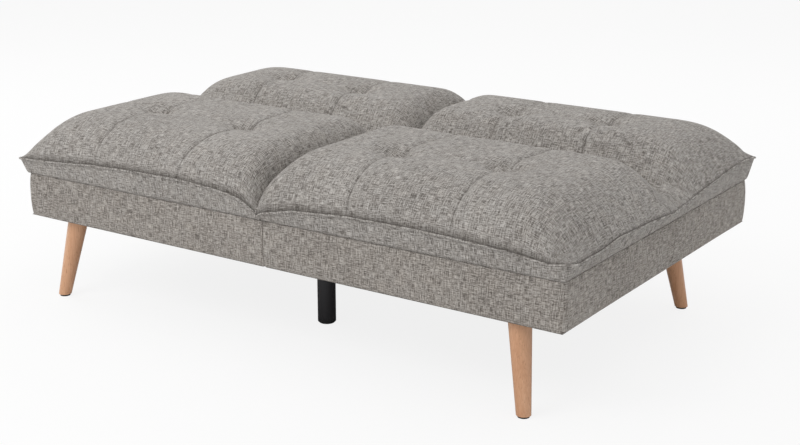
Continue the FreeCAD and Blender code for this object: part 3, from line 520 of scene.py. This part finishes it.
def cushionTop(facts):
    top = Top(facts)
    c = cushion
    across = spaced(c["lipX"], c["step"], c["lineEnds"], c["tight"])
    deep = spaced(top.depth, c["step"], [], c["tight"])
    shape = bmesh.new()
    bmesh.ops.create_grid(shape, x_segments=len(across) - 1, y_segments=len(deep) - 1, size=0.5)
    shape.verts.ensure_lookup_table()
    wide, weights, places = len(across), [], []
    for index, vertex in enumerate(shape.verts):
        r, d = across[index % wide], deep[index // wide]
        # the columns beside a sewn line follow it
        pull = [(top.stitch(n, d) - end) * exp(-abs(r - end) / c["followWidth"])
                for n, end in enumerate(c["lineEnds"])]
        ease = c["followFade"]
        r = min(c["lipX"], max(0, r + sum(pull) * min(1, r / ease) * min(1, (c["lipX"] - r) / ease)))
        places.append((r, d))
        weights.append(pinWeight(top, r, d))
        vertex.co = top.point(r, d)
    start = [vertex.co.copy() for vertex in shape.verts]
    if top.toward * top.side < 0:
        bmesh.ops.reverse_faces(shape, faces=shape.faces)
    moved = simulate(facts["name"] + "_work", shape, weights)
    for index, vertex in enumerate(shape.verts):
        r, d = places[index]
        inward = min(c["lipX"] - r, top.depth - d)
        room = min(1, r / c["roomInner"], d / c["roomValley"], inward / c["roomLip"])
        move = moved[index] - start[index]
        limit = c["cap"] / 1000 * room
        if move.length > limit:
            move = move * (limit / move.length)
        vertex.co = start[index] + move
    # seams, dimples and the lip are marked with painted shade, so that the cloth is drawn darker in them
    flow = shape.loops.layers.uv.new("cloth")
    crease = shape.verts.layers.float.new("crease")
    for index, vertex in enumerate(shape.verts):
        r, d = places[index]
        atLip = r > c["lipX"] - 1 or d > top.depth - 1
        shadeOnLines = max(hump(r - top.stitch(n, d), c["paintedLineShadeWidth"]) for n in range(2))
        shadeInDimples = max(hump(sqrt((r - x) ** 2 + (d - along) ** 2), c["paintedTuftShadeWidth"]) for x, along in top.tufts)
        vertex[crease] = c["paintedLipShade"] if atLip else max(shadeOnLines * c["paintedLineShade"], shadeInDimples * c["paintedTuftShade"])
    # the cloth's length is measured along one row and one column, so its threads stay square
    row, column = wide * int(len(deep) * c["threadRow"]), int(wide * c["threadColumn"])
    alongX, alongY = [0.0], [0.0]
    for n in range(1, wide):
        alongX.append(alongX[-1] + (shape.verts[row + n].co - shape.verts[row + n - 1].co).length)
    for n in range(1, len(deep)):
        step = shape.verts[column + n * wide].co - shape.verts[column + (n - 1) * wide].co
        alongY.append(alongY[-1] + step.length)
    for face in shape.faces:
        for loop in face.loops:
            index = loop.vert.index
            loop[flow].uv = (alongX[index % wide] * top.side + 3, alongY[index // wide] * top.toward + 3)
    return top, shape


# lays cloth on upright and level faces at its real size
def wrapUv(flow, faces):
    for face in faces:
        normal = face.normal
        for loop in face.loops:
            place = loop.vert.co
            if abs(normal.z) > 0.8:
                loop[flow].uv = (place.x + 7, place.y + 7)
            elif abs(normal.x) > abs(normal.y):
                loop[flow].uv = (place.y + 5, place.z + 5)
            else:
                loop[flow].uv = (place.x + 9, place.z + 9)


# the open edge of a sheet as a list of vertices in order
def boundaryLoop(shape):
    edges = [edge for edge in shape.edges if edge.is_boundary]
    start = edges[0].verts[0]
    loop, last, here = [start], None, start
    while True:
        following = [e for e in here.link_edges if e.is_boundary and e is not last]
        last = following[0]
        here = last.other_vert(here)
        if here is start:
            return loop
        loop.append(here)


# the vertices and edges that an extrusion made
def extruded(shape, edges):
    made = bmesh.ops.extrude_edge_only(shape, edges=edges)["geom"]
    ring = [v for v in made if isinstance(v, bmesh.types.BMVert)]
    return ring, [e for e in made if isinstance(e, bmesh.types.BMEdge) and all(v in ring for v in e.verts)]


# a sewn cord along a line of points: one ring is extruded from point to point
def welt(shape, line, radius, sides, drift):
    flow = shape.loops.layers.uv["cloth"]
    crease = shape.verts.layers.float["crease"]
    before = set(shape.faces)
    ring = bmesh.ops.create_circle(shape, cap_ends=False, segments=sides, radius=radius)["verts"]
    first = list(ring)
    edges = list({e for v in ring for e in v.link_edges})
    local = [v.co.copy() for v in ring]
    length, lengths = 0.0, {}
    for number in range(len(line)):
        ahead, behind = line[min(len(line) - 1, number + 1)], line[max(0, number - 1)]
        turn = (ahead - behind).to_track_quat("Z", "Y").to_matrix()
        if number:
            ring, edges = extruded(shape, edges)
            length += (line[number] - line[number - 1]).length
        for vertex, place in zip(ring, local):
            vertex.co = line[number] + turn @ place
            vertex[crease] = 0.0
            lengths[vertex] = length
    ends = {edge for vertex in first + ring for edge in vertex.link_edges if edge.is_boundary}
    bmesh.ops.holes_fill(shape, edges=list(ends), sides=sides)
    for face in set(shape.faces) - before:
        for loop in face.loops:
            loop[flow].uv = (lengths[loop.vert] + drift, loop.vert.co.z * 0.7 + drift)


# one smooth subdivision of a sewn top
def smoothed(shape):
    mesh = bpy.data.meshes.new("sewn")
    shape.to_mesh(mesh)
    shape.free()
    work = bpy.data.objects.new("sewn", mesh)
    scene.collection.objects.link(work)
    smooth = work.modifiers.new("smooth", "SUBSURF")
    smooth.levels = smooth.render_levels = 1
    smooth.boundary_smooth = "PRESERVE_CORNERS"
    result = applied(work)
    shape = bmesh.new()
    shape.from_mesh(result)
    bpy.data.objects.remove(work)
    bpy.data.meshes.remove(mesh)
    bpy.data.meshes.remove(result)
    return shape


def cushionPiece(facts):
    c = cushion
    top, shape = cushionTop(facts)
    shape = smoothed(shape)
    flow = shape.loops.layers.uv["cloth"]
    sewn = set(shape.faces)
    crease = shape.verts.layers.float["crease"]

    # the gusset: from the lip down to the tuck, with a little belly, and in under the lip
    lip = boundaryLoop(shape)
    lines = [v.co.copy() for v in lip]
    edges = [e for e in shape.edges if e.is_boundary]
    low = c["tuck"] / 1000
    source = {v: v for v in lip}
    for inward, down in c["gusset"]:
        ring, edges = extruded(shape, edges)
        nearest = {}
        for vertex in ring:
            above = [e.other_vert(vertex) for e in vertex.link_edges if e.other_vert(vertex) in source]
            nearest[vertex] = source[above[0]]
        for vertex, base in nearest.items():
            r, d = top.side * base.co.x * 1000, abs(base.co.y * 1000 - c["axisY"])
            insideX = min(max(r, c["gap"] / 2), c["lipX"] - c["tuckIn"])
            insideY = min(d, top.depth - c["tuckIn"])
            seamIn = c["seamSlope"] * (base.co.z * 1000 - c["tuck"]) * down
            onSeam = max(0, 1 - d / c["seamReach"])
            y = d + (insideY - d) * inward - top.toward * seamIn * onSeam
            vertex.co.x = top.side * (r + (insideX - r) * inward) / 1000
            vertex.co.y = (c["axisY"] + top.toward * y) / 1000
            vertex.co.z = base.co.z + (low - base.co.z) * down
            # painted shade along the tuck ring, where the gusset meets the box
            vertex[crease] = c["paintedTuckShade"] if down == 1.0 else 0.0
        source = nearest
    bmesh.ops.contextual_create(shape, geom=edges)
    bmesh.ops.triangulate(shape, faces=[f for f in shape.faces if len(f.verts) > 4])
    shape.normal_update()
    wrapUv(flow, [face for face in shape.faces if face not in sewn])
    # the welt follows the lip, except along the valley, where the two halves meet
    outside = [abs(place.y * 1000 - c["axisY"]) > c["valleyReach"] for place in lines]
    begin = max([n for n in range(len(lines)) if outside[n] and not outside[n - 1]], default=0)
    order = [lines[(begin + n) % len(lines)] for n in range(len(lines)) if outside[(begin + n) % len(lines)]]
    line = []
    for place in order[::2]:
        r, d = abs(place.x) * 1000, abs(place.y * 1000 - c["axisY"])
        away = Vector((top.side * (r > c["lipX"] - c["endZone"] and c["lipX"] - r < top.depth - d),
                       top.toward * (top.depth - d <= c["lipX"] - r), 0))
        line.append(place + away * c["weltOut"] / 1000 - Vector((0, 0, c["weltDrop"] / 1000)))
    welt(shape, line, c["welt"] / 1000, c["weltSides"], 9 + top.side)
    bmesh.ops.recalc_face_normals(shape, faces=shape.faces)
    piece = sewnPiece(facts["name"] + "_pillow", shape, fabric, facts["body"], facts["node"])
    print(piece.name, "made,", len(piece.data.polygons), "faces")


for facts in cushions:
    cushionPiece(facts)


# borders: padded cloth round the boards, cut from the frame's own walls so that their slots stay; in metres
border = {
    "halfX": 0.825, "halfY": 0.518, "low": 0.22, "high": 0.338, "corner": 0.016, "bottom": 0.004, "edge": 0.003,
    "gridAcross": 0.018, "gridUp": 0.0118, "belly": 0.005, "bellyPower": 0.7, "wave": 0.0011,
    "waveScale": 9, "cornerSteps": 6, "edgeSteps": 2, "bottomSteps": 4, "sharp": 0.5, "skin": 0.001,
    "touch": 0.0006, "flat": 0.0005, "rim": 0.012, "upright": 0.02, "middleSeam": 0.002, "hingeSeam": 0.1,
}


def near(value, target):
    return abs(abs(value) - target) < border["touch"]


def onRim(edge):
    middle = (edge.verts[0].co + edge.verts[1].co) / 2
    return any(abs(place) > half - border["rim"] for place, half in ((middle.x, border["halfX"]),
                                                                     (middle.y, border["halfY"])))


def atCorner(edge):
    return all(near(v.co.x, border["halfX"]) and near(v.co.y, border["halfY"]) for v in edge.verts)


def atBottom(edge):
    return all(v.co.z < border["low"] + border["flat"] for v in edge.verts)


def atTop(edge):
    outer = all(near(v.co.x, border["halfX"]) or near(v.co.y, border["halfY"]) for v in edge.verts)
    return outer and all(v.co.z > border["high"] - border["flat"] for v in edge.verts)


# the seams of the cloth: upright in the middle, sloping where the seat meets the back
def atSeam(edge):
    first, second = edge.verts
    upright = abs(second.co.z - first.co.z) > border["upright"]
    placed = abs(first.co.x) < border["middleSeam"] or abs(first.co.y) < border["hingeSeam"]
    return upright and placed and not atCorner(edge)


def roundEdges(shape, test, size, segments):
    sharp = [e for e in shape.edges if len(e.link_faces) == 2 and e.calc_face_angle(0) > border["sharp"]]
    edges = [edge for edge in sharp if test(edge)]
    bmesh.ops.bevel(shape, geom=edges, offset=size, offset_type="OFFSET", segments=segments, profile=0.5,
                    affect="EDGES", material=-1)


def cutAcross(shape, axis, start, stop, step):
    for number in range(1, int((stop - start) / step) + 1):
        place, normal = Vector(), Vector()
        place[axis], normal[axis] = start + number * step, 1
        bmesh.ops.bisect_plane(shape, geom=shape.verts[:] + shape.edges[:] + shape.faces[:], dist=0.00001,
                               plane_co=place, plane_no=normal)


# which way the padding pushes a point of a wall, and how much of it: nothing inside the walls
def pushed(place):
    b = border
    overX, overY = abs(place.x) - (b["halfX"] - b["corner"]), abs(place.y) - (b["halfY"] - b["corner"])
    signX, signY = (1 if place.x > 0 else -1), (1 if place.y > 0 else -1)
    skin = b["corner"] - b["skin"]
    if overX > 0 and overY > 0:
        share = 1 if sqrt(overX ** 2 + overY ** 2) > skin else 0
        return Vector((overX * signX, overY * signY, 0)).normalized() * share
    if overX > skin:
        return Vector((signX, 0, 0))
    if overY > skin:
        return Vector((0, signY, 0))
    return Vector()


def borderPiece(node, body):
    b = border
    shape = bmesh.new()
    shape.from_mesh(frame["nodes"][node].data)
    bmesh.ops.remove_doubles(shape, verts=shape.verts, dist=0.00002)
    bmesh.ops.dissolve_limit(shape, angle_limit=radians(1), verts=shape.verts, edges=shape.edges)
    roundEdges(shape, atCorner, b["corner"], b["cornerSteps"])
    roundEdges(shape, atTop, b["edge"], b["edgeSteps"])
    roundEdges(shape, lambda edge: atBottom(edge) and onRim(edge), b["bottom"], b["bottomSteps"])
    roundEdges(shape, lambda edge: atSeam(edge) and not atBottom(edge) and onRim(edge), b["edge"],
               b["edgeSteps"])
    cutAcross(shape, 2, b["low"], b["high"], b["gridUp"])
    cutAcross(shape, 0, -b["halfX"], b["halfX"], b["gridAcross"])
    cutAcross(shape, 1, -b["halfY"], b["halfY"], b["gridAcross"])
    middle, half = (b["low"] + b["high"]) / 2, (b["high"] - b["low"]) / 2
    for vertex in shape.verts:
        up = max(0, 1 - ((vertex.co.z - middle) / half) ** 2)
        swell = b["belly"] * up ** b["bellyPower"] + b["wave"] * up * noise.noise(vertex.co * b["waveScale"])
        vertex.co += pushed(vertex.co) * swell
    bmesh.ops.recalc_face_normals(shape, faces=shape.faces)
    shape.normal_update()
    wrapUv(shape.loops.layers.uv.get("cloth") or shape.loops.layers.uv.new("cloth"), shape.faces)
    sewnPiece(node + "_cloth", shape, shadedWallFabric, body, node)


for side in ("left", "right"):
    borderPiece("seat_border_" + side, "seat")
    borderPiece("back_%s_border" % side, "back_" + side)
print("borders made")
